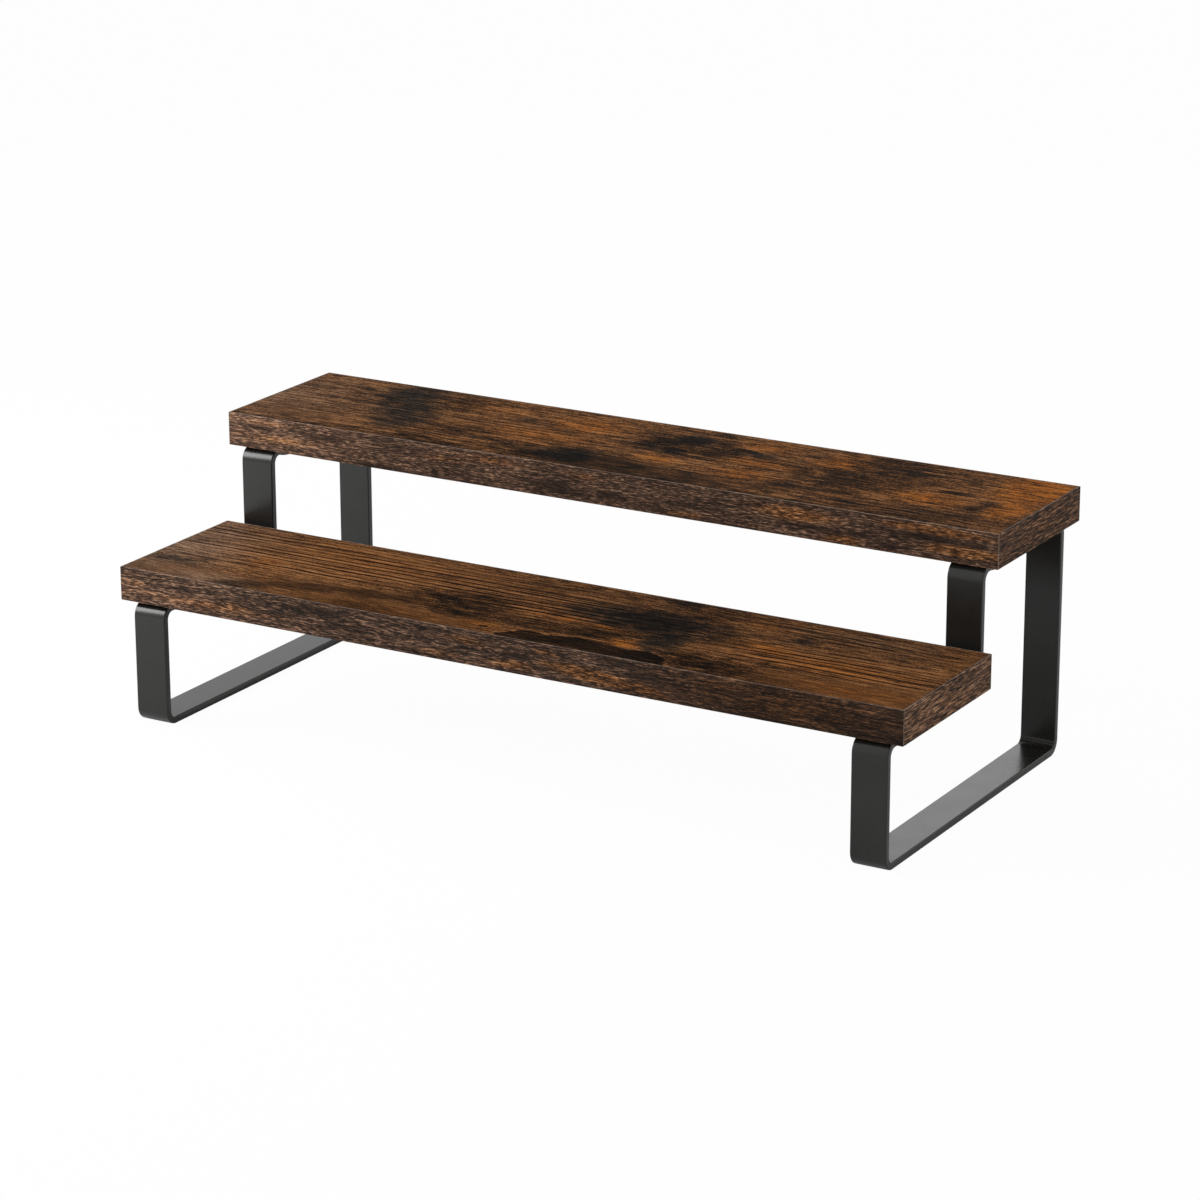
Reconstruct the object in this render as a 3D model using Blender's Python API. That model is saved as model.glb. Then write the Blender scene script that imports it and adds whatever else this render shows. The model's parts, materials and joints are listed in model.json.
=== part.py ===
"""Two-tier countertop display rack: two laminated boards on two bent flat-bar frames.

Metres, +Z up. +X runs along the boards, +Y to the back. The origin is on the floor, under the middle.
"""

import math

import bmesh
import bpy
from mathutils import Matrix, Vector

# Boards: the overall sizes of one finished board, and the layers that make it up.
SHELF_LENGTH = 0.400
SHELF_DEPTH = 0.085
SHELF_THICKNESS = 0.016
FACE_THICKNESS = 0.0005
BAND_THICKNESS = 0.0008
BAND_EASING = 0.0003
GLUE_LINE = 0.0001

# Heights: the lower board's underside above the floor, and the step up to the upper one's.
LOWER_UNDERSIDE = 0.058
TIER_RISE = 0.0525

# Frames: coated flat bar, bent flatwise. The radius is the one inside the bends.
BAR_WIDTH = 0.017
BAR_THICKNESS = 0.0034
BAR_EDGE_ROUND = 0.0006
BEND_RADIUS = 0.0035
FRAME_INSET = 0.007
SEAT_GAP = 0.0002

# Screws: pan-head tapping screws, driven up through the bars.
SCREW_SETBACK = 0.022
HEAD_DIAMETER = 0.0095
HEAD_HEIGHT = 0.0037
HEAD_CORNER_ROUND = 0.0016
HEAD_GAP = 0.0002
SHANK_DIAMETER = 0.0048
POINT_LENGTH = 0.0025
TIP_COVER = 0.0066
HOLE_CLEARANCE = 0.0003
RECESS_SPAN = 0.0046
RECESS_WIDTH = 0.0011
RECESS_DEPTH = 0.0018

# Smoothness of the round stretches.
BEND_SEGMENTS = 8
EDGE_SEGMENTS = 3
ROUND_SEGMENTS = 24
SHARP_ANGLE = math.radians(40)

# What follows from the sizes above. The lower board ends where the bend up to the middle upright begins.
RACK_DEPTH = 2 * SHELF_DEPTH + BEND_RADIUS
LOWER_FRONT = -RACK_DEPTH / 2
UPPER_FRONT = RACK_DEPTH / 2 - SHELF_DEPTH
UPPER_UNDERSIDE = LOWER_UNDERSIDE + TIER_RISE
FRAME_X = SHELF_LENGTH / 2 - FRAME_INSET - BAR_WIDTH / 2
SIDES = {"left": -FRAME_X, "right": FRAME_X}
SCREW_ROWS = {"front": SCREW_SETBACK, "rear": SHELF_DEPTH - SCREW_SETBACK}

# Heights under a board, measured from its underside.
BAR_UNDERSIDE = -SEAT_GAP - BAR_THICKNESS
HEAD_SEAT = BAR_UNDERSIDE - HEAD_GAP
SCREW_TIP = SHELF_THICKNESS - TIP_COVER


def clear_scene():
    for item in list(bpy.data.objects):
        bpy.data.objects.remove(item, do_unlink=True)


def make_material(name, colour, roughness, metallic=0.0):
    material = bpy.data.materials.new(name)
    material.use_nodes = True
    shader = material.node_tree.nodes["Principled BSDF"]
    shader.inputs["Base Color"].default_value = (*colour, 1.0)
    shader.inputs["Roughness"].default_value = roughness
    shader.inputs["Metallic"].default_value = metallic
    return material


def add_object(name, mesh, parent=None, location=(0, 0, 0)):
    """A named object for a mesh, or an empty for none."""
    obj = bpy.data.objects.new(name, mesh)
    obj.parent = parent
    obj.location = location
    bpy.context.scene.collection.objects.link(obj)
    return obj


def finish_mesh(name, bm, material=None):
    bmesh.ops.recalc_face_normals(bm, faces=bm.faces)
    mesh = bpy.data.meshes.new(name)
    bm.to_mesh(mesh)
    bm.free()
    if material:
        mesh.materials.append(material)
    return mesh


def box_mesh(name, size, material=None):
    bm = bmesh.new()
    bmesh.ops.create_cube(bm, size=1, matrix=Matrix.Diagonal((*size, 1)))
    return finish_mesh(name, bm, material)


def add_slab(name, low, high, parent, material):
    """A box between two corners, with its origin in its middle."""
    low, high = Vector(low), Vector(high)
    return add_object(name, box_mesh(name, high - low, material), parent, (low + high) / 2)


def add_bevel(obj, width, segments):
    bevel = obj.modifiers.new("eased_edges", "BEVEL")
    bevel.width = width
    bevel.segments = segments
    bevel.limit_method = "ANGLE"
    bevel.angle_limit = math.radians(60)


def add_cut(obj, cutter):
    cut = obj.modifiers.new(cutter.name, "BOOLEAN")
    cut.operation = "DIFFERENCE"
    cut.solver = "EXACT"
    cut.object = cutter
    cutter.hide_render = True
    cutter.display_type = "WIRE"


def smooth(mesh):
    mesh.shade_smooth()
    mesh.set_sharp_from_angle(angle=SHARP_ANGLE)


def add_board(name, parent, materials):
    """One board from its lower front edge: a core between two printed faces, closed in by four edge bands.

    Gives back the pieces that the screws go into.
    """
    half = SHELF_LENGTH / 2
    skin = BAND_THICKNESS + GLUE_LINE
    x0, x1 = -half + skin, half - skin
    y0, y1 = skin, SHELF_DEPTH - skin
    top = SHELF_THICKNESS
    layer = FACE_THICKNESS + GLUE_LINE

    def slab(piece, low, high, material):
        return add_slab(f"{name}_{piece}", low, high, parent, materials[material])

    core = slab("core", (x0, y0, layer), (x1, y1, top - layer), "core")
    slab("top_face", (x0, y0, top - FACE_THICKNESS), (x1, y1, top), "face")
    bottom_face = slab("bottom_face", (x0, y0, 0), (x1, y1, FACE_THICKNESS), "face")

    # The long bands cover the ends of the short ones.
    bands = (
        slab("front_band", (-half, 0, 0), (half, BAND_THICKNESS, top), "band"),
        slab("rear_band", (-half, SHELF_DEPTH - BAND_THICKNESS, 0), (half, SHELF_DEPTH, top), "band"),
        slab("left_band", (-half, y0, 0), (-half + BAND_THICKNESS, y1, top), "band"),
        slab("right_band", (half - BAND_THICKNESS, y0, 0), (half, y1, top), "band"),
    )
    for band in bands:
        add_bevel(band, BAND_EASING, EDGE_SEGMENTS - 1)
    return core, bottom_face


def rounded_loop(corners, radius):
    """Points round a closed path of square corners, with an arc of the given radius at each."""
    points = []
    for index, corner in enumerate(corners):
        back = (corners[index - 1] - corner).normalized()
        ahead = (corners[(index + 1) % len(corners)] - corner).normalized()
        centre = corner + radius * (back + ahead)
        for step in range(BEND_SEGMENTS + 1):
            angle = step / BEND_SEGMENTS * math.pi / 2
            points.append(centre - radius * (math.cos(angle) * ahead + math.sin(angle) * back))
    return points


def add_frame(name, x, material):
    """A flat bar bent into a closed loop: up the front, back, up the middle, back, down the rear, along the floor."""
    half_bar = BAR_THICKNESS / 2
    front = LOWER_FRONT + half_bar
    middle = UPPER_FRONT + half_bar
    rear = RACK_DEPTH / 2 - half_bar
    floor = half_bar
    lower = LOWER_UNDERSIDE - SEAT_GAP - half_bar
    upper = UPPER_UNDERSIDE - SEAT_GAP - half_bar
    corners = [
        Vector((front, floor)),
        Vector((front, lower)),
        Vector((middle, lower)),
        Vector((middle, upper)),
        Vector((rear, upper)),
        Vector((rear, floor)),
    ]
    path = rounded_loop(corners, BEND_RADIUS + half_bar)

    # The surface in the middle of the bar, thickened both ways.
    bm = bmesh.new()
    left = [bm.verts.new((-BAR_WIDTH / 2, y, z)) for y, z in path]
    right = [bm.verts.new((BAR_WIDTH / 2, y, z)) for y, z in path]
    for index in range(len(path)):
        bm.faces.new((left[index - 1], left[index], right[index], right[index - 1]))
    frame = add_object(name, finish_mesh(name, bm, material), location=(x, 0, 0))
    thicken = frame.modifiers.new("bar_thickness", "SOLIDIFY")
    thicken.thickness = BAR_THICKNESS
    thicken.offset = 0
    thicken.use_even_offset = True
    add_bevel(frame, BAR_EDGE_ROUND, EDGE_SEGMENTS)
    smooth(frame.data)
    return frame


def screw_profile():
    """Half the outline of a screw that points up, with the seat of its head at height 0."""
    head = HEAD_DIAMETER / 2
    shank = SHANK_DIAMETER / 2
    tip = SCREW_TIP - HEAD_SEAT
    points = [(0, -HEAD_HEIGHT)]
    for step in range(BEND_SEGMENTS // 2 + 1):
        angle = step / (BEND_SEGMENTS // 2) * math.pi / 2
        out = head - HEAD_CORNER_ROUND * (1 - math.sin(angle))
        points.append((out, -HEAD_HEIGHT + HEAD_CORNER_ROUND * (1 - math.cos(angle))))
    points += [(head, 0), (shank, 0), (shank, tip - POINT_LENGTH), (0, tip)]
    return points


def screw_mesh(material):
    """A turned screw with a cross recess in its head, to be shared by all the screws."""
    bm = bmesh.new()
    verts = [bm.verts.new((radius, 0, height)) for radius, height in screw_profile()]
    edges = [bm.edges.new(pair) for pair in zip(verts, verts[1:])]
    bmesh.ops.spin(
        bm,
        geom=verts + edges,
        cent=(0, 0, 0),
        axis=(0, 0, 1),
        angle=2 * math.pi,
        steps=ROUND_SEGMENTS,
    )
    bmesh.ops.remove_doubles(bm, verts=bm.verts, dist=1e-6)
    blank = add_object("screw_blank", finish_mesh("screw_blank", bm, material))
    slots = []
    for turn in range(2):
        slot = add_object(
            f"recess_{turn}",
            box_mesh(f"recess_{turn}", (RECESS_SPAN, RECESS_WIDTH, 2 * RECESS_DEPTH)),
            location=(0, 0, -HEAD_HEIGHT),
        )
        slot.rotation_euler.z = turn * math.pi / 2
        add_cut(blank, slot)
        slots.append(slot)
    bpy.context.view_layer.update()
    cut_blank = blank.evaluated_get(bpy.context.evaluated_depsgraph_get())
    mesh = bpy.data.meshes.new_from_object(cut_blank)
    smooth(mesh)
    for helper in (blank, *slots):
        bpy.data.objects.remove(helper, do_unlink=True)
    return mesh


def drill(name, x, y, tier, pieces):
    """One screw's hole, through the bar and into the board."""
    bm = bmesh.new()
    radius = SHANK_DIAMETER / 2 + HOLE_CLEARANCE
    low = BAR_UNDERSIDE - BAR_THICKNESS
    high = SCREW_TIP + HOLE_CLEARANCE
    bmesh.ops.create_cone(
        bm,
        cap_ends=True,
        segments=ROUND_SEGMENTS,
        radius1=radius,
        radius2=radius,
        depth=high - low,
    )
    hole = add_object(name, finish_mesh(name, bm), tier, (x, y, (low + high) / 2))
    for piece in pieces:
        add_cut(piece, hole)


def main():
    clear_scene()
    materials = {
        "core": make_material("particle_board", (0.48, 0.34, 0.21), 0.9),
        "face": make_material("printed_laminate", (0.13, 0.062, 0.028), 0.45),
        "band": make_material("edge_band", (0.11, 0.068, 0.047), 0.5),
        "bar": make_material("powder_coat", (0.035, 0.035, 0.034), 0.45, 0.1),
        "screw": make_material("black_screw", (0.02, 0.02, 0.02), 0.35, 0.8),
    }
    screw = screw_mesh(materials["screw"])
    frames = {side: add_frame(f"{side}_frame", x, materials["bar"]) for side, x in SIDES.items()}
    tiers = {
        "lower": add_object("lower_tier", None, location=(0, LOWER_FRONT, LOWER_UNDERSIDE)),
        "upper": add_object("upper_tier", None, location=(0, UPPER_FRONT, UPPER_UNDERSIDE)),
    }
    for level, tier in tiers.items():
        core, bottom_face = add_board(f"{level}_shelf", tier, materials)
        for side, x in SIDES.items():
            for row, y in SCREW_ROWS.items():
                name = f"{level}_{side}_{row}"
                add_object(f"{name}_screw", screw, tier, (x, y, HEAD_SEAT))
                drill(f"{name}_hole", x, y, tier, (core, bottom_face, frames[side]))


main()
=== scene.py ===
"""Looks of the two-tier countertop display rack: printed boards on coated flat-bar frames.

Metres, in the axes of the part: +X along the boards, +Y to the back, +Z up.
"""

import itertools
import json
import math

import bpy
from mathutils import Matrix, Vector

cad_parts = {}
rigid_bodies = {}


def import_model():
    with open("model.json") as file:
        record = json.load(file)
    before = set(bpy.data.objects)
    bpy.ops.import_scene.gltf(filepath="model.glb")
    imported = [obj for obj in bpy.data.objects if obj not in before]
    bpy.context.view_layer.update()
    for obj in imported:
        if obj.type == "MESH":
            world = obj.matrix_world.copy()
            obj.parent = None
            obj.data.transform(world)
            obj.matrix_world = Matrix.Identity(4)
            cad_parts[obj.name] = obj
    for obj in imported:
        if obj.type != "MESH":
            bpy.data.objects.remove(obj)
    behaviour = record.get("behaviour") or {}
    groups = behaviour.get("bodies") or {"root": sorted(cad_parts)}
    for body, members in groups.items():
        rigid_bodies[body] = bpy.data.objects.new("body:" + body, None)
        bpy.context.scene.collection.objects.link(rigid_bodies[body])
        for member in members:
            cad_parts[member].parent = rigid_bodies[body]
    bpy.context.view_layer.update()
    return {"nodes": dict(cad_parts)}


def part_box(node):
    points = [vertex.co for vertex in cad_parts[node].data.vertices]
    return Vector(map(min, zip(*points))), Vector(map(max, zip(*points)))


MM = 0.001
WHITE = (1.0, 1.0, 1.0, 1.0)
LEVELS = ("lower", "upper")
SIDES = ("left", "right")
ROWS = ("front", "rear")
# Each edge band of a board: its edge, the axis that it runs along and the axis that it faces.
BANDS = (("front", "X", "Y"), ("rear", "X", "Y"), ("left", "Y", "X"), ("right", "Y", "X"))

# Camera: where it stands, which way it looks, and its lens and sensor in millimetres.
CAMERA_PLACE = (0.9045, -1.5361, 0.6376)
CAMERA_YAW = math.radians(-30.375)
CAMERA_PITCH = math.radians(-17.788)
CAMERA_ROLL = math.radians(-0.132)
CAMERA_LENS = 124.0
CAMERA_SENSOR = 36.0

# Light: the even light of a white room, a soft lamp close by on the left, and a weak one behind.
# The camera, gloss and glass see the room white. Each lamp is (place, size, power).
ROOM_LIGHT = 0.58
ROOM_SEEN = 1.0
LAMPS = {
    "key": ((-0.75, -0.45, 0.5), 0.5, 6.8),
    "back": ((-0.35, 1.1, 0.46), 0.5, 0.45),
}

# Floor: a wide pale plane just under the frames. It glows towards the camera, which makes the
# background white, and weakly towards gloss and glass.
FLOOR_SPAN = 40.0
FLOOR_DROP = 0.0002
FLOOR_COLOUR = (0.92, 0.92, 0.92, 1.0)
FLOOR_ROUGHNESS = 0.9
FLOOR_GLOW = 0.97
FLOOR_GLOW_IN_GLOSS = 0.15

# Shading: points closer than the reach are joined, and corners sharper than the limit stay sharp.
WELD_REACH = 1e-6
SMOOTH_LIMIT = math.radians(35)

# Noise runs from 0 to 1 about its middle. Each print takes its noise from its own slice, a step
# from the next one's.
MIDDLE = 0.5
SEED_STEP = 3.37


def tint(red, green, blue):
    """A colour from display values of 0 to 255, as a shader takes it, by the sRGB curve."""
    channels = []
    for value in (red, green, blue):
        share = value / 255
        channels.append(share / 12.92 if share <= 0.04045 else ((share + 0.055) / 1.055) ** 2.4)
    return (*channels, 1.0)


class Nodes:
    """Adds and links the nodes of one material."""

    def __init__(self, name, seed=0):
        self.material = bpy.data.materials.new(name)
        self.material.use_nodes = True
        self.tree = self.material.node_tree
        self.shader = self.tree.nodes["Principled BSDF"]
        self.slice = (seed + 0.5) * SEED_STEP

    def feed(self, socket, source):
        """Gives a socket its source: another node's output, or a plain value."""
        if isinstance(source, bpy.types.NodeSocket):
            self.tree.links.new(source, socket)
        else:
            socket.default_value = source

    def surface(self, **sources):
        """Sets the shader's inputs, whose names are written with underscores."""
        for name, source in sources.items():
            self.feed(self.shader.inputs[name.replace("_", " ")], source)

    def add(self, kind, sources=None, output=0, **settings):
        node = self.tree.nodes.new(kind)
        for name, value in settings.items():
            setattr(node, name, value)
        for key, source in (sources or {}).items():
            self.feed(node.inputs[key], source)
        return node.outputs[output]

    def math(self, operation, first, second=0.0, third=0.0):
        return self.add("ShaderNodeMath", {0: first, 1: second, 2: third}, operation=operation)

    def total(self, start, *terms):
        """A number plus weighted fields, each counted from its own middle: (field, middle, weight)."""
        result = start
        for field, middle, weight in terms:
            result = self.math("MULTIPLY_ADD", self.math("SUBTRACT", field, middle), weight, result)
        return result

    def remap(self, field, low, high, to_low=0.0, to_high=1.0):
        """A field eased from one range to another, and held at its ends."""
        sources = {0: field, 1: low, 2: high, 3: to_low, 4: to_high}
        return self.add("ShaderNodeMapRange", sources, interpolation_type="SMOOTHSTEP")

    def fall(self, field, share):
        """1 where a field is 0, down to a share where it is 1."""
        return self.remap(field, 0.0, 1.0, 1.0, share)

    def part(self, vector, axis):
        return self.add("ShaderNodeSeparateXYZ", {0: vector}, axis)

    def measure(self, coords, origin, size, turn=0.0):
        """Coordinates counted from an origin in steps of the given sizes."""
        sources = {"Vector": coords, "Location": origin, "Scale": size, "Rotation": (0, 0, turn)}
        return self.add("ShaderNodeMapping", sources, vector_type="TEXTURE")

    def place(self):
        """Where a point of the surface is, in metres."""
        return self.add("ShaderNodeTexCoord", output="Object")

    def flat(self, origin, along, across):
        """Millimetres on a flat face, along one axis and across another, from an origin in metres."""
        counted = self.measure(self.place(), origin, (MM, MM, MM))
        sources = {0: self.part(counted, along), 1: self.part(counted, across)}
        return self.add("ShaderNodeCombineXYZ", sources)

    def noise(self, coords, size, detail=3.0, roughness=0.5, output="Fac"):
        """Noise whose grains are about as long, wide and, where given, high as the size."""
        sources = {
            "Vector": self.measure(coords, (0, 0, -self.slice), (*size, 1.0)[:3]),
            "Scale": 1.0,
            "Detail": detail,
            "Roughness": roughness,
        }
        return self.add("ShaderNodeTexNoise", sources, output)

    def ridge(self, coords, size, width):
        """Thin wandering lines, along the middle level of a noise."""
        level = self.noise(coords, size, detail=2.0)
        away = self.math("ABSOLUTE", self.math("SUBTRACT", level, MIDDLE))
        return self.remap(away, 0.0, width, 1.0, 0.0)

    def rings(self, coords, step, low, drift, shown, high=0.95):
        """Lines along the grain, a step apart, where a long drifting noise shows them."""
        turns = self.math("MULTIPLY", self.part(coords, "Y"), math.tau / step)
        lines = self.remap(self.math("SINE", turns), low, high)
        return self.math("MULTIPLY", lines, self.remap(self.noise(coords, drift), *shown))

    def vector_math(self, operation, first, second):
        return self.add("ShaderNodeVectorMath", {0: first, 1: second}, operation=operation)

    def wobble(self, coords, size, reach, detail=2.0):
        """Coordinates pushed about by noise, at most by about half the reach each way."""
        colour = self.noise(coords, size, detail, output="Color")
        centred = self.vector_math("SUBTRACT", colour, (MIDDLE, MIDDLE, MIDDLE))
        pushed = self.vector_math("MULTIPLY", centred, (*reach, 0.0))
        return self.vector_math("ADD", coords, pushed)

    def patches(self, coords, ovals, low=0.1, high=0.8, rough=1.0):
        """The strongest of some soft ovals, written as in the prints below."""
        field = 0.0
        for along, across, half_length, half_width, strength, turn in ovals:
            size = (half_length, half_width, 1.0)
            local = self.measure(coords, (along, across, 0), size, math.radians(turn))
            oval = self.add("ShaderNodeTexGradient", {"Vector": local}, "Fac", gradient_type="SPHERICAL")
            field = self.math("MAXIMUM", field, self.math("MULTIPLY", oval, strength))
        return self.remap(self.math("MULTIPLY", field, rough), low, high)

    def ramp(self, field, stops):
        """Colours along a field: (place, colour), lowest first."""
        node = self.tree.nodes.new("ShaderNodeValToRGB")
        self.feed(node.inputs[0], field)
        elements = node.color_ramp.elements
        for index, (place, colour) in enumerate(stops):
            element = elements[index] if index < len(elements) else elements.new(place)
            element.position = place
            element.color = colour
        return node.outputs[0]

    def mix(self, factor, first, second):
        """A mix of two colours. A Mix node's colour sockets are its inputs 6 and 7 and its output 2."""
        return self.add("ShaderNodeMix", {0: factor, 6: first, 7: second}, 2, data_type="RGBA")

    def bump(self, height, distance):
        return self.add("ShaderNodeBump", {"Height": height, "Distance": distance})


# The print of each board's top, in millimetres from its left front corner. Each oval is
# (along, across, half length, half width, strength, turn in degrees). Soot, dark and shade darken:
# black smears, rough brown patches and soft shadows. Warm and light change the colour. Grey is a
# painted sheen: a grey haze laid over the print, mostly on the left parts of the tops. Lined and
# veined say where growth lines and fine veins show, and smooth where the grain is faint. Flakes are
# dark chips with a light rim.
TOP_PRINTS = {
    "upper": {
        "tone": 0.452,
        "soot": (
            (62, 68, 25, 32, 1.8, 0),
            (70, 48, 22, 32, 1.5, 0),
            (77, 32, 19, 28, 1.4, 0),
            (215, 66, 15, 10, 2.0, 0),
            (200, 49, 11, 8, 1.3, 0),
            (213, 44, 13, 8, 1.3, 0),
            (177, 18, 26, 15, 1.6, 0),
            (253, 59, 15, 7, 1.6, -15),
            (135, 58, 18, 7, 0.7, 0),
            (92, 82, 28, 8, 0.6, 0),
        ),
        "dark": (
            (211, 56, 34, 28, 1.2, 0),
            (233, 56, 18, 22, 1.3, 0),
            (200, 56, 40, 34, 0.4, 0),
            (88, 70, 16, 10, 0.7, 0),
            (92, 56, 14, 5, 0.7, 0),
            (110, 27, 40, 14, 0.6, 0),
            (318, 70, 30, 36, 1.3, 0),
            (304, 44, 40, 30, 1.0, 0),
            (292, 22, 34, 24, 0.9, 0),
            (338, 60, 46, 32, 0.6, 0),
            (345, 10, 90, 19, 0.85, 0),
            (248, 9, 54, 20, 0.7, 0),
            (377, 34, 8, 18, 1.0, 0),
            (358, 47, 16, 8, 1.0, 0),
            (116, 6, 60, 12, 1.0, 0),
            (20, 1, 60, 7, 0.6, 0),
            (176, 8, 44, 12, 0.8, 0),
            (206, 11, 36, 15, 0.8, 0),
        ),
        "shade": (
            (60, -2, 110, 13, 1.0, 0),
            (250, -3, 190, 15, 1.1, 0),
            (70, 50, 34, 60, 0.5, 12),
            (170, 12, 56, 30, 1.2, 0),
            (240, 0, 60, 22, 0.6, 0),
            (204, 3, 50, 16, 1.2, 0),
            (216, 58, 42, 30, 0.5, 0),
            (40, 56, 26, 44, 0.65, 0),
            (92, 70, 24, 24, 0.8, 0),
            (128, 80, 36, 10, 0.5, 0),
            (216, 80, 46, 10, 0.5, 0),
            (112, 22, 46, 13, 0.55, 0),
            (214, 9, 22, 16, 1.0, 0),
            (314, 6, 20, 12, 0.6, 0),
        ),
        "warm": (
            (112, 66, 50, 22, 0.4, 0),
            (161, 63, 38, 22, 0.8, 0),
            (150, 38, 60, 20, 0.6, 0),
            (215, 31, 22, 12, 0.7, -8),
            (252, 72, 30, 16, 0.7, 0),
            (294, 67, 26, 20, 0.9, 0),
            (262, 46, 42, 13, 0.8, 0),
            (260, 28, 30, 15, 0.8, 0),
            (388, 66, 30, 34, 1.4, 0),
            (390, 36, 15, 26, 1.3, 0),
            (350, 33, 34, 15, 0.95, 0),
            (335, 40, 90, 60, 0.35, 0),
            (6, 79, 18, 12, 0.4, 0),
        ),
        "light": (
            (392, 78, 18, 12, 1.1, 0),
            (393, 36, 13, 14, 1.0, 0),
            (36, 8, 26, 7, 0.7, 0),
        ),
        # Grey: painted sheen over the left part of this top.
        "grey": (
            (0, 40, 120, 110, 0.6, 0),
        ),
        "lined": (
            (20, 45, 60, 50, 0.5, 0),
            (135, 45, 90, 36, 0.6, 0),
            (262, 46, 50, 16, 0.7, 0),
            (350, 10, 80, 16, 0.7, 0),
        ),
        "veined": (
            (340, 40, 130, 70, 1.2, 0),
            (180, 40, 150, 60, 0.6, 0),
        ),
        "smooth": (
            (30, 16, 50, 16, 0.8, 0),
            (245, 10, 50, 16, 0.7, 0),
            (200, 12, 50, 20, 1.0, 0),
        ),
        "flakes": (),
    },
    "lower": {
        "tone": 0.464,
        "soot": (
            (252, 50, 58, 25, 1.8, 0),
            (270, 30, 17, 26, 1.8, 0),
            (250, 80, 26, 12, 0.9, 0),
            (161, 34, 8, 7, 1.0, 0),
            (172, 30, 36, 22, 0.5, 0),
            (16, 22, 28, 9, 1.1, 0),
            (320, 61, 13, 12, 1.0, 0),
            (370, 60, 12, 12, 0.6, 0),
        ),
        "dark": (
            (258, 50, 74, 38, 0.65, 0),
            (265, 72, 36, 26, 0.75, 0),
            (300, 10, 40, 18, 0.6, 0),
            (168, 30, 44, 28, 1.1, 0),
            (180, 18, 30, 11, 0.9, 0),
            (136, 6, 80, 16, 0.45, 0),
            (192, 72, 40, 26, 0.3, 0),
            (370, 8, 80, 16, 0.4, 0),
            (205, 40, 30, 30, 0.35, 0),
            (240, 22, 28, 9, 0.7, 0),
            (190, 20, 28, 9, 0.65, 0),
        ),
        "shade": (
            (62, 5, 26, 8, 1.7, 24),
            (90, 16, 30, 8, 1.7, 14),
            (124, 22, 36, 7, 1.5, 6),
            (130, 4, 80, 14, 0.6, 0),
            (190, 72, 34, 24, 0.35, 0),
            (234, 28, 34, 3, 1.5, 0),
            (300, 8, 46, 22, 1.3, 0),
            (64, 22, 20, 12, 0.6, 0),
            (222, 22, 42, 13, 1.4, 0),
            (182, 6, 40, 11, 0.5, 0),
            (126, 36, 34, 12, 0.5, 0),
            (320, 22, 66, 9, 0.5, 0),
            (290, 50, 26, 12, 0.5, 0),
        ),
        "warm": (
            (54, 38, 22, 12, 0.5, 0),
            (140, 6, 90, 14, 0.45, 0),
            (186, 9, 24, 9, 0.75, 0),
            (110, 62, 130, 40, 0.35, 0),
            (298, 71, 18, 11, 0.6, 0),
            (259, 19, 14, 7, 1.3, 0),
            (238, 33, 24, 6, 0.9, 0),
            (219, 35, 12, 9, 0.9, 0),
            (205, 40, 34, 20, 0.45, 0),
            (312, 42, 30, 14, 0.75, 0),
            (350, 34, 74, 20, 0.7, 0),
            (370, 10, 70, 16, 0.65, 0),
        ),
        "light": (
            (390, 6, 22, 12, 1.0, 0),
            (36, 7, 30, 9, 0.9, 0),
            (66, 12, 12, 5, 0.7, 0),
            (112, 72, 60, 14, 0.6, 0),
            (326, 76, 50, 9, 0.8, 0),
            (60, 45, 150, 90, 0.55, 0),
        ),
        # Grey: painted sheen, mostly over the left part of this top.
        "grey": (
            (0, 40, 70, 110, 0.85, 0),
            (40, 6, 60, 16, 0.8, 0),
            (350, 74, 80, 24, 0.4, 0),
        ),
        "lined": (
            (85, 68, 150, 16, 1.5, 0),
            (100, 52, 130, 14, 1.5, 2),
            (80, 36, 110, 6, 0.9, 3),
            (200, 50, 62, 34, 1.3, 0),
            (350, 36, 90, 22, 1.2, 0),
            (340, 72, 110, 24, 0.7, 0),
        ),
        "veined": (
            (200, 45, 120, 40, 0.7, 0),
            (330, 70, 100, 30, 0.9, 0),
        ),
        "smooth": (
            (140, 8, 90, 16, 1.0, 0),
            (62, 5, 30, 11, 1.0, 24),
            (90, 16, 34, 11, 1.0, 14),
            (124, 22, 40, 10, 1.0, 6),
            (368, 10, 70, 18, 1.0, 0),
            (20, 9, 60, 16, 0.8, 0),
            (240, 6, 50, 12, 1.0, 0),
        ),
        "flakes": (
            (214, 0, 19, 18, 1.0, 0),
            (241, -20, 62, 50, 1.0, 0),
            (268, -8, 26, 30, 1.0, 0),
            (191, 8.6, 3.2, 2.4, 1.0, 0),
        ),
    },
}
FACE_COLOURS = (
    (0.00, tint(20, 16, 13)),
    (0.16, tint(43, 30, 21)),
    (0.42, tint(83, 55, 34)),
    (0.66, tint(122, 82, 50)),
    (0.95, tint(166, 116, 74)),
)
WARM_FACE_COLOURS = (
    (0.00, tint(21, 16, 12)),
    (0.16, tint(45, 30, 19)),
    (0.42, tint(88, 54, 27)),
    (0.66, tint(132, 78, 34)),
    (0.95, tint(186, 112, 48)),
)
# The colours of the painted sheen: the print seen through a grey haze.
GREY_SHEEN_COLOURS = (
    (0.00, tint(22, 20, 19)),
    (0.16, tint(44, 37, 32)),
    (0.42, tint(84, 63, 48)),
    (0.66, tint(118, 90, 70)),
    (0.95, tint(160, 128, 104)),
)
SOOT_COLOURS = (
    (0.00, tint(20, 17, 15)),
    (0.30, tint(37, 31, 27)),
    (0.70, tint(72, 59, 49)),
)
# The fine growth lines are this strong beside the coarse ones.
FINE_LINES = 0.6
FACE_ROUGHNESS = 0.42
FACE_SPECULAR = 0.0012
FACE_RELIEF = 0.05 * MM
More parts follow.
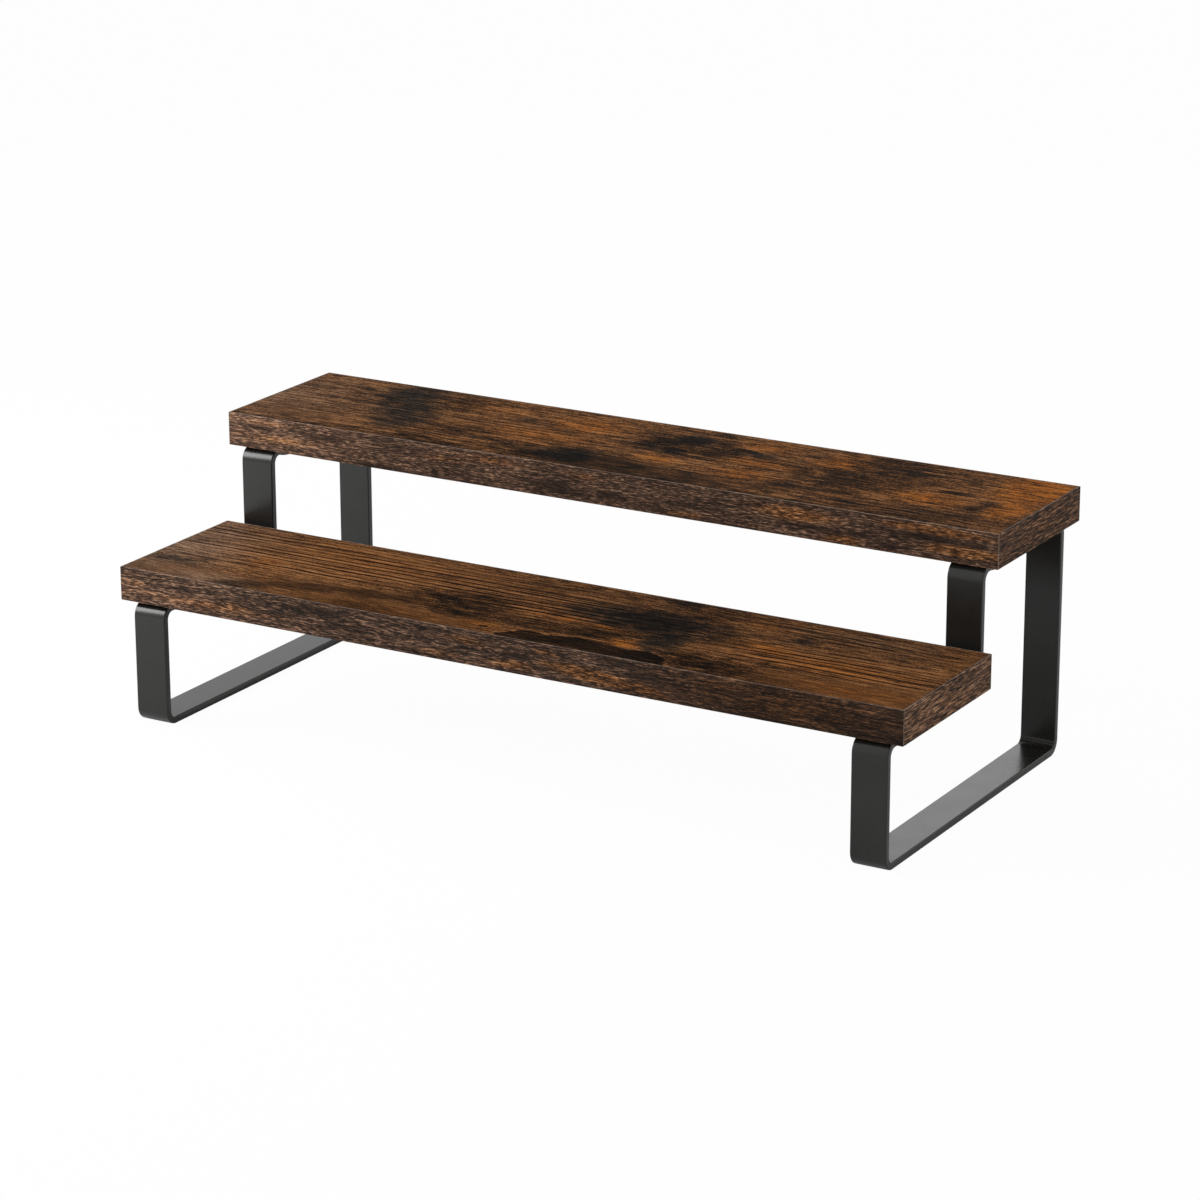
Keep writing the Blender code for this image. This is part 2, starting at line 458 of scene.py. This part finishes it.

# The print of each board's front band, in millimetres from its left lower corner, in the same kind
# of ovals. Worn is where the cut edge is rubbed light. Pale is a painted sheen that lightens the left
# end of each front band.
BAND_PRINTS = {
    "upper": {
        "tone": 0.43,
        "contrast": 1.1,
        "warm": (
            (30, 6, 44, 4, 0.6, 0),
            (22, 13, 26, 3, 0.5, 0),
            (120, 10, 22, 4, 0.6, 0),
            (145, 12.5, 30, 3.5, 0.7, 0),
            (194, 12, 14, 3, 0.6, 0),
            (248, 2, 16, 2.5, 0.7, 0),
            (302, 10.5, 34, 5, 1.1, 0),
            (324, 2.5, 14, 3.5, 1.1, 0),
            (370, 13, 40, 2.8, 1.3, 0),
            (384, 5.5, 28, 4, 1.4, 0),
        ),
        "dark": (
            (18, 10.3, 15, 2.2, 1.0, 0),
            (52, 11, 20, 2.6, 1.0, 0),
            (180, 5.5, 32, 5, 0.9, 0),
            (208, 6, 14, 3, 0.8, 0),
            (245, 6, 26, 2.5, 0.8, 0),
            (320, 5.5, 40, 2, 1.0, 0),
            (374, 9.6, 38, 2.2, 1.2, 0),
            (350, 3, 14, 3, 0.8, 0),
            (90, 1, 60, 2, 0.7, 0),
        ),
        # Painted sheen on the band's left end.
        "painted_sheen": (
            (0, 6, 110, 24, 1.2, 0),
        ),
        "worn": (
            (380, 12, 210, 50, 1.2, 0),
            (70, 16, 24, 6, 0.9, 0),
        ),
    },
    "lower": {
        "tone": 0.355,
        "contrast": 1.1,
        "warm": (
            (50, 5, 70, 4, 0.6, 0),
            (64, 6.5, 18, 3, 0.7, 0),
            (8, 9, 16, 4, 0.5, 0),
            (174, 3, 22, 3, 0.6, 0),
            (186, 11, 20, 4, 0.7, 0),
            (210, 4, 20, 3.5, 1.0, 0),
            (228, 12, 12, 2.5, 0.8, 0),
            (252, 5.5, 36, 4.5, 1.5, -4),
            (276, 4, 18, 4, 1.3, -6),
            (310, 12, 16, 4, 0.9, 0),
            (376, 6, 34, 3.5, 0.8, 0),
            (345, 8, 110, 20, 0.8, 0),
        ),
        "dark": (
            (38, 10, 14, 3.5, 0.8, 0),
            (110, 12.5, 36, 4, 0.8, 0),
            (122, 6, 24, 3, 0.5, 0),
            (214, 8.5, 18, 2, 0.9, 0),
            (262, 13.5, 22, 3, 1.1, 0),
            (278, 10, 18, 3, 1.2, 0),
            (296, 7.5, 18, 3, 1.2, -6),
            (355, 6, 120, 24, 1.0, 0),
        ),
        # Painted sheen on the band's left end.
        "painted_sheen": (
            (0, 6, 110, 24, 1.0, 0),
        ),
        "worn": (
            (400, 8, 12, 40, 1.2, 0),
        ),
    },
}


def plain_band(tone, warmth):
    """The even print of the other three bands."""
    return {
        "tone": tone,
        "contrast": 1.35,
        "warm": ((40, 8, 140, 50, warmth, 0),),
        "dark": (),
        "painted_sheen": (),
        "worn": (),
    }


PLAIN_BANDS = {
    "upper": plain_band(0.38, 0.5),
    "lower": plain_band(0.51, 0.4),
}
# The flecks on the boards' ends are this much longer.
END_STRETCH = 1.6
BAND_COLOURS = (
    (0.00, tint(32, 26, 23)),
    (0.25, tint(54, 42, 35)),
    (0.48, tint(82, 62, 50)),
    (0.72, tint(124, 95, 77)),
    (0.95, tint(178, 140, 112)),
)
WARM_BAND_COLOURS = (
    (0.00, tint(28, 21, 17)),
    (0.25, tint(58, 40, 28)),
    (0.48, tint(98, 66, 42)),
    (0.72, tint(148, 98, 60)),
    (0.95, tint(196, 142, 96)),
)
EDGE_COLOURS = (
    (0.20, tint(104, 89, 80)),
    (0.70, tint(146, 126, 113)),
)
CUT_EDGE = tint(150, 128, 110)
BAND_ROUGHNESS = 0.5
BAND_SPECULAR = 0.03
BAND_RELIEF = 0.08 * MM

# The coat of the frames, the board cores and the screws: colours, grain sizes and finish.
COAT_COLOURS = (
    (0.30, (0.0108, 0.0105, 0.0096, 1.0)),
    (0.70, (0.0145, 0.0141, 0.0130, 1.0)),
)
COAT_PEEL = (0.9 * MM, 0.9 * MM, 0.9 * MM)
COAT_CLOUD = (14 * MM, 14 * MM, 14 * MM)
COAT_ROUGHNESS = 0.25
COAT_SPECULAR = 0.38
COAT_RELIEF = 0.01 * MM
CORE_COLOURS = (
    (0.20, tint(150, 118, 82)),
    (0.80, tint(205, 172, 128)),
)
CORE_CHIP = (2.4 * MM, 2.4 * MM, 0.8 * MM)
CORE_ROUGHNESS = 0.85
SCREW_COLOURS = (
    (0.35, (0.012, 0.012, 0.013, 1.0)),
    (0.70, (0.030, 0.030, 0.030, 1.0)),
)
SCREW_WEAR = (1.5 * MM, 1.5 * MM, 1.5 * MM)
SCREW_METAL = 0.6
SCREW_ROUGHNESS = 0.38


def face_material(name, corner, design, seed):
    """The wood-grain print of a board's top or underside."""
    n = Nodes(name, seed)
    face = n.flat(corner, "X", "Y")
    grain = n.wobble(face, size=(170, 34), reach=(20, 10))
    grain = n.wobble(grain, size=(40, 13), reach=(5, 2.2))
    torn = n.wobble(face, size=(34, 15), reach=(22, 11), detail=4.0)
    torn = n.wobble(torn, size=(5, 1.8), reach=(8, 3.0), detail=3.0)
    soft = n.wobble(face, size=(50, 16), reach=(10, 4))
    ragged = n.wobble(face, size=(14, 6), reach=(9, 4), detail=4.0)

    cloud = n.noise(grain, size=(44, 14), detail=4.0, roughness=0.55)
    mottle = n.noise(grain, size=(13, 3.4), roughness=0.6)
    tick = n.noise(grain, size=(8, 0.8), detail=2.0, roughness=0.6)
    streak = n.noise(grain, size=(70, 1.5), roughness=0.6)
    fibre = n.noise(grain, size=(18, 0.45), detail=2.0)
    speck = n.noise(face, size=(0.9, 1.5), detail=1.0)
    pore = n.remap(n.noise(grain, size=(3.5, 0.6), detail=1.0), low=0.6, high=0.72)
    vein = n.ridge(grain, size=(13, 3.6), width=0.07)
    coarse = n.rings(grain, step=4.4, low=0.15, drift=(220, 12), shown=(0.38, 0.5))
    fine = n.rings(grain, step=3.0, low=0.1, drift=(160, 9), shown=(0.3, 0.5))
    line = n.math("MAXIMUM", coarse, n.math("MULTIPLY", fine, FINE_LINES))
    uneven = n.noise(grain, size=(9, 4.5), roughness=0.6)
    rough = n.remap(uneven, low=0.3, high=0.7, to_low=0.65, to_high=1.3)

    soot = n.patches(torn, design["soot"], low=0.0, high=1.35, rough=rough)
    dark = n.patches(torn, design["dark"], low=0.0, high=1.05, rough=rough)
    shade = n.patches(soft, design["shade"], low=0.0, high=1.0)
    warm = n.patches(torn, design["warm"], low=0.05, high=0.9)
    light = n.patches(torn, design["light"], low=0.0, high=1.0)
    # Where the painted sheen lies, mostly on the left of the tops.
    grey = n.patches(torn, design["grey"])
    smooth = n.patches(torn, design["smooth"], low=0.05, high=0.6)
    straight = n.patches(grain, design["lined"])
    lined = n.math("MULTIPLY", line, straight)
    veined = n.math("MULTIPLY", vein, n.patches(torn, design["veined"]))
    flake = n.patches(ragged, design["flakes"], low=0.26, high=0.32)
    rim = n.math("SUBTRACT", n.patches(ragged, design["flakes"], low=0.18, high=0.24), flake)
    detail = n.total(
        0.0,
        (mottle, MIDDLE, 0.4),
        (tick, MIDDLE, 1.6),
        (streak, MIDDLE, 0.9),
        (fibre, MIDDLE, 2.2),
        (speck, MIDDLE, 0.9),
        (pore, 0.1, -0.44),
    )
    kept = n.math("MULTIPLY", n.fall(smooth, 0.5), n.fall(straight, 0.65))
    tone = n.total(
        design["tone"],
        (cloud, MIDDLE, 0.45),
        (n.math("MULTIPLY", detail, kept), 0.0, 1.0),
        (warm, 0.0, 0.14),
        (lined, 0.0, -0.7),
        (straight, 0.0, 0.2),
        (light, 0.0, 0.14),
        (veined, 0.2, -0.16),
        (flake, 0.0, -0.42),
        (rim, 0.0, 0.16),
        (dark, 0.0, -0.38),
        (shade, 0.0, -0.28),
        (soot, 0.0, -0.2),
    )
    colour = n.mix(warm, n.ramp(tone, FACE_COLOURS), n.ramp(tone, WARM_FACE_COLOURS))
    # The painted sheen turns the print greyer there.
    colour = n.mix(grey, colour, n.ramp(tone, GREY_SHEEN_COLOURS))
    colour = n.mix(soot, colour, n.ramp(tone, SOOT_COLOURS))
    height = n.total(0.0, (fibre, MIDDLE, 0.6), (streak, MIDDLE, 0.6), (line, 0.0, -0.2))
    n.surface(
        Base_Color=colour,
        Roughness=n.total(FACE_ROUGHNESS, (streak, MIDDLE, 0.25)),
        Specular_IOR_Level=FACE_SPECULAR,
        Normal=n.bump(height, FACE_RELIEF),
    )
    return n.material


def band_material(name, corner, along, outward, design, seed):
    """The finer, bark-like print of an edge band, and the plain colour of its cut edges."""
    n = Nodes(name, seed)
    stretch = END_STRETCH if along == "Y" else 1.0
    strip = n.flat(corner, along, "Z")
    wavy = n.wobble(strip, size=(26, 6), reach=(14, 1.6), detail=3.0)
    wavy = n.wobble(wavy, size=(7 * stretch, 1.6), reach=(2.4, 0.3))

    zone = n.noise(wavy, size=(34, 4.5))
    layer = n.noise(wavy, size=(22, 1.1), roughness=0.6)
    fleck = n.noise(wavy, size=(4.2 * stretch, 0.5), detail=2.0, roughness=0.6)
    grit = n.noise(strip, size=(1.7 * stretch, 0.42), detail=1.0)
    rubbed = n.remap(n.noise(strip, size=(12, 6)), low=0.35, high=0.6)
    warm = n.patches(wavy, design["warm"])
    dark = n.patches(wavy, design["dark"])
    # Painted sheen that lightens the band's left end.
    painted_sheen = n.patches(wavy, design["painted_sheen"])
    bright = n.math("MULTIPLY", n.remap(fleck, low=0.4, high=0.68), n.fall(dark, 0.55))
    detail = n.total(
        0.0,
        (zone, MIDDLE, 0.45),
        (layer, MIDDLE, 0.85),
        (bright, 0.4, 0.5),
        (grit, MIDDLE, 0.6),
    )
    tone = n.total(
        design["tone"],
        (detail, 0.0, design["contrast"]),
        (warm, 0.0, 0.1),
        (dark, 0.0, -0.12),
        (painted_sheen, 0.0, 0.14),
    )
    colour = n.mix(warm, n.ramp(tone, BAND_COLOURS), n.ramp(tone, WARM_BAND_COLOURS))
    facing = n.part(n.add("ShaderNodeNewGeometry", output="True Normal"), outward)
    printed = n.remap(n.math("ABSOLUTE", facing), low=0.6, high=0.95)
    worn = n.math("MULTIPLY", n.patches(strip, design["worn"]), rubbed)
    edge = n.mix(worn, n.ramp(tone, EDGE_COLOURS), CUT_EDGE)
    n.surface(
        Base_Color=n.mix(printed, edge, colour),
        Roughness=n.total(BAND_ROUGHNESS, (fleck, MIDDLE, 0.3)),
        Specular_IOR_Level=BAND_SPECULAR,
        Normal=n.bump(fleck, BAND_RELIEF),
    )
    return n.material


def coat_material():
    """Satin black powder coat with a fine orange peel."""
    n = Nodes("powder_coat")
    peel = n.noise(n.place(), COAT_PEEL, detail=2.0)
    cloud = n.noise(n.place(), COAT_CLOUD)
    n.surface(
        Base_Color=n.ramp(cloud, COAT_COLOURS),
        Roughness=n.total(COAT_ROUGHNESS, (cloud, MIDDLE, 0.12), (peel, MIDDLE, 0.06)),
        Specular_IOR_Level=COAT_SPECULAR,
        Normal=n.bump(peel, COAT_RELIEF),
    )
    return n.material


def core_material():
    """Raw particle board: pressed chips in several shades of tan."""
    n = Nodes("particle_board")
    chips = n.measure(n.place(), (0, 0, 0), CORE_CHIP)
    shade = n.add("ShaderNodeTexVoronoi", {"Vector": chips, "Scale": 1.0}, "Color")
    grey = n.add("ShaderNodeRGBToBW", {0: shade})
    n.surface(
        Base_Color=n.ramp(grey, CORE_COLOURS),
        Roughness=n.total(CORE_ROUGHNESS, (grey, MIDDLE, 0.2)),
    )
    return n.material


def screw_material():
    """Black oxide on steel."""
    n = Nodes("black_screw")
    wear = n.noise(n.place(), SCREW_WEAR)
    n.surface(
        Base_Color=n.ramp(wear, SCREW_COLOURS),
        Metallic=SCREW_METAL,
        Roughness=n.total(SCREW_ROUGHNESS, (wear, MIDDLE, 0.3)),
    )
    return n.material


def smoothing():
    """A node group for a modifier: joins the facets' corners and shades all but sharp edges smooth."""
    group = bpy.data.node_groups.new("smooth_shading", "GeometryNodeTree")
    for way in ("INPUT", "OUTPUT"):
        group.interface.new_socket("Geometry", in_out=way, socket_type="NodeSocketGeometry")
    nodes = group.nodes
    link = group.links.new
    last = nodes.new("NodeGroupInput").outputs[0]
    for attribute in ("custom_normal", "sharp_edge", "sharp_face"):
        remove = nodes.new("GeometryNodeRemoveAttribute")
        remove.inputs["Name"].default_value = attribute
        link(last, remove.inputs["Geometry"])
        last = remove.outputs[0]
    weld = nodes.new("GeometryNodeMergeByDistance")
    weld.inputs["Distance"].default_value = WELD_REACH
    link(last, weld.inputs["Geometry"])
    angle = nodes.new("GeometryNodeInputMeshEdgeAngle")
    sharp = nodes.new("FunctionNodeCompare")
    sharp.operation = "GREATER_THAN"
    sharp.inputs[1].default_value = SMOOTH_LIMIT
    link(angle.outputs[0], sharp.inputs[0])
    crease = nodes.new("GeometryNodeSetShadeSmooth")
    crease.domain = "EDGE"
    crease.inputs["Shade Smooth"].default_value = False
    link(weld.outputs[0], crease.inputs["Geometry"])
    link(sharp.outputs[0], crease.inputs["Selection"])
    link(crease.outputs[0], nodes.new("NodeGroupOutput").inputs[0])
    return group


def shade_smooth(obj, group):
    obj.modifiers.new("smooth_shading", "NODES").node_group = group
    weighted = obj.modifiers.new("weighted_normals", "WEIGHTED_NORMAL")
    weighted.keep_sharp = True


def paint(obj, material):
    obj.data.materials.clear()
    obj.data.materials.append(material)


def dress_boards(nodes, group):
    """Prints on the faces and bands of both boards. Each underside carries the other board's design."""
    core = core_material()
    seed = 0
    for level in LEVELS:
        board = f"{level}_shelf"
        other = LEVELS[1 - LEVELS.index(level)]
        paint(nodes[f"{board}_core"], core)
        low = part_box(f"{board}_front_band")[0]
        for face, design in (("top", TOP_PRINTS[level]), ("bottom", TOP_PRINTS[other])):
            seed += 1
            name = f"{board}_{face}_face"
            paint(nodes[name], face_material(f"{name}_print", low, design, seed))
        for edge, along, outward in BANDS:
            seed += 1
            name = f"{board}_{edge}_band"
            design = (BAND_PRINTS if edge == "front" else PLAIN_BANDS)[level]
            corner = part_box(name)[0]
            paint(nodes[name], band_material(f"{name}_print", corner, along, outward, design, seed))
            shade_smooth(nodes[name], group)


def dress_frames(nodes, group):
    coat = coat_material()
    for side in SIDES:
        bar = nodes[f"{side}_frame"]
        paint(bar, coat)
        shade_smooth(bar, group)


def dress_screws(nodes, group):
    black = screw_material()
    for level, side, row in itertools.product(LEVELS, SIDES, ROWS):
        screw = nodes[f"{level}_{side}_{row}_screw"]
        paint(screw, black)
        shade_smooth(screw, group)


def add_floor():
    """The floor, which is clear from below, so that the part shows from there too."""
    bpy.ops.mesh.primitive_plane_add(size=FLOOR_SPAN, location=(0, 0, -FLOOR_DROP))
    floor = bpy.context.object
    floor.name = "floor"
    n = Nodes("floor")
    n.surface(Base_Color=FLOOR_COLOUR, Roughness=FLOOR_ROUGHNESS, Specular_IOR_Level=0.0)
    rays = n.tree.nodes.new("ShaderNodeLightPath")
    mirrored = n.math("MAXIMUM", rays.outputs["Is Glossy Ray"], rays.outputs["Is Transmission Ray"])
    share = n.math("MULTIPLY", mirrored, FLOOR_GLOW_IN_GLOSS)
    share = n.math("MAXIMUM", share, n.math("MULTIPLY", rays.outputs["Is Camera Ray"], FLOOR_GLOW))
    glow = n.add("ShaderNodeEmission", {"Color": WHITE, "Strength": 1.0})
    lit = n.add("ShaderNodeMixShader", {0: share, 1: n.shader.outputs[0], 2: glow})
    below = n.add("ShaderNodeNewGeometry", output="Backfacing")
    clear = n.add("ShaderNodeBsdfTransparent")
    shown = n.add("ShaderNodeMixShader", {0: below, 1: lit, 2: clear})
    n.tree.links.new(shown, n.tree.nodes["Material Output"].inputs["Surface"])
    paint(floor, n.material)


def add_lights():
    world = bpy.data.worlds.new("room")
    world.use_nodes = True
    tree = world.node_tree
    background = tree.nodes["Background"]
    background.inputs["Color"].default_value = WHITE
    rays = tree.nodes.new("ShaderNodeLightPath")
    seen = rays.outputs["Is Camera Ray"]
    for name in ("Is Glossy Ray", "Is Transmission Ray"):
        either = tree.nodes.new("ShaderNodeMath")
        either.operation = "MAXIMUM"
        tree.links.new(seen, either.inputs[0])
        tree.links.new(rays.outputs[name], either.inputs[1])
        seen = either.outputs[0]
    strength = tree.nodes.new("ShaderNodeMapRange")
    strength.inputs["To Min"].default_value = ROOM_LIGHT
    strength.inputs["To Max"].default_value = ROOM_SEEN
    tree.links.new(seen, strength.inputs["Value"])
    tree.links.new(strength.outputs[0], background.inputs["Strength"])
    bpy.context.scene.world = world

    for name, (place, size, power) in LAMPS.items():
        lamp = bpy.data.lights.new(name, "AREA")
        lamp.shape = "DISK"
        lamp.size = size
        lamp.energy = power
        light = bpy.data.objects.new(name, lamp)
        light.location = place
        light.rotation_euler = (-Vector(place)).to_track_quat("-Z", "Y").to_euler()
        bpy.context.scene.collection.objects.link(light)


def add_camera():
    data = bpy.data.cameras.new("camera")
    data.lens = CAMERA_LENS
    data.sensor_width = CAMERA_SENSOR
    camera = bpy.data.objects.new("camera", data)
    turn = (
        Matrix.Rotation(-CAMERA_YAW, 4, "Z")
        @ Matrix.Rotation(math.pi / 2 + CAMERA_PITCH, 4, "X")
        @ Matrix.Rotation(CAMERA_ROLL, 4, "Z")
    )
    camera.matrix_world = Matrix.Translation(CAMERA_PLACE) @ turn
    bpy.context.scene.collection.objects.link(camera)
    bpy.context.scene.camera = camera


for item in list(bpy.data.objects):
    bpy.data.objects.remove(item, do_unlink=True)
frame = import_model()
bpy.context.scene.view_settings.view_transform = "Standard"

add_camera()
add_lights()
add_floor()
group = smoothing()
for dress in (dress_boards, dress_frames, dress_screws):
    dress(frame["nodes"], group)
